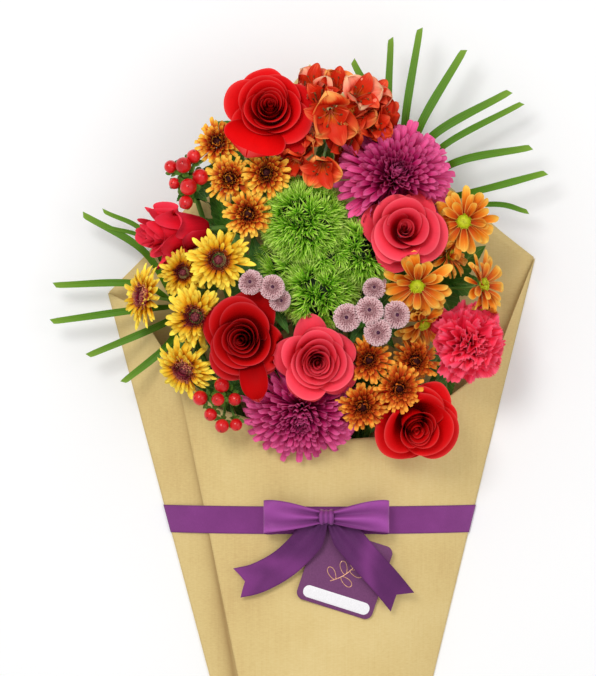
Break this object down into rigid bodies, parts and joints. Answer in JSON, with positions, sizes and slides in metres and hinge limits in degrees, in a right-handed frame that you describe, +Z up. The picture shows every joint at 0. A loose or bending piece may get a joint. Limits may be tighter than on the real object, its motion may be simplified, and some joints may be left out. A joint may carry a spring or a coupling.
{
  "type": "mixed flower bouquet",
  "caption": "Hand-tied bouquet of mixed cut flowers in a folded kraft-paper sleeve with a ribbon band, bow and gift tag, lying on its back.",
  "frame": {"origin": "middle of the bouquet's length and width, on the surface that it lies on", "axes": "+X the bouquet's right as it is looked at, +Y from the cut stem ends to the flower heads, +Z up from the surface"},
  "size_m": [0.3928, 0.5696, 0.1266],
  "materials": {
    "orange_petal": "satiny ray petal round a lime eye",
    "coral_petal": "satiny rose petal",
    "red_petal": "velvety rose petal",
    "bronze_petal": "matte strap petal, dark red with yellow tips",
    "yellow_petal": "matte strap petal, yellow with a red-purple eye",
    "dark_red_petal": "velvety rose petal",
    "magenta_petal": "matte strap petal, paler on its back",
    "pink_petal": "ruffled carnation petal",
    "grass_green": "narrow ribbed blade",
    "berry": "smooth, slightly glossy berry skin",
    "stem_green": "smooth green stem",
    "flame_petal": "glossy tepal with a yellow throat",
    "moss_green": "fine green needles",
    "lilac_petal": "matte button bloom with a dark eye",
    "kraft_paper": "ribbed brown wrapping paper",
    "satin_ribbon": "plum satin",
    "tag_card": "matte plum card",
    "raffia": "natural raffia"
  },
  "bodies": {
    "root": {"orange_daisy_2": "orange_petal", "coral_rose_right": "coral_petal", "coral_rose_centre": "coral_petal", "red_rose_top": "red_petal", "bronze_mum_3": "bronze_petal", "bronze_mum_4": "bronze_petal", "yellow_mum_1": "yellow_petal", "dark_rose_left": "dark_red_petal", "bronze_mum_5": "bronze_petal", "bronze_mum_6": "bronze_petal", "bronze_mum_7": "bronze_petal", "orange_daisy_1": "orange_petal", "bronze_mum_2": "bronze_petal", "yellow_mum_3": "yellow_petal", "bronze_mum_1": "bronze_petal", "magenta_mum_top": "magenta_petal", "pink_carnation": "pink_petal", "red_rose_low": "red_petal", "orange_daisy_5": "orange_petal", "bronze_mum_8": "bronze_petal", "orange_daisy_4": "orange_petal", "yellow_mum_4": "yellow_petal", "magenta_mum_low": "magenta_petal", "yellow_mum_2": "yellow_petal", "yellow_mum_5": "yellow_petal", "red_rose_side": "red_petal", "orange_daisy_3": "orange_petal", "grass_left": "grass_green", "hypericum_upper": "berry", "bronze_mum_upper_stem": "stem_green", "red_rose_top_stem": "stem_green", "alstroemeria": "flame_petal", "magenta_mum_top_stem": "stem_green", "grass_right": "grass_green", "yellow_mum_stem": "stem_green", "red_rose_side_stem": "stem_green", "green_dianthus_1": "moss_green", "green_dianthus_2": "moss_green", "coral_rose_right_stem": "stem_green", "orange_daisy_stem": "stem_green", "dark_rose_left_stem": "stem_green", "lilac_buttons_left": "lilac_petal", "green_dianthus_3": "moss_green", "lilac_buttons_right": "lilac_petal", "pink_carnation_stem": "stem_green", "hypericum_lower": "berry", "magenta_mum_low_stem": "stem_green", "coral_rose_centre_stem": "stem_green", "bronze_mum_lower_stem": "stem_green", "red_rose_low_stem": "stem_green", "paper_sleeve": "kraft_paper", "ribbon_band": "satin_ribbon", "ribbon_bow": "satin_ribbon", "gift_tag": "tag_card", "stem_tie": "raffia"}
  },
  "joints": []
}
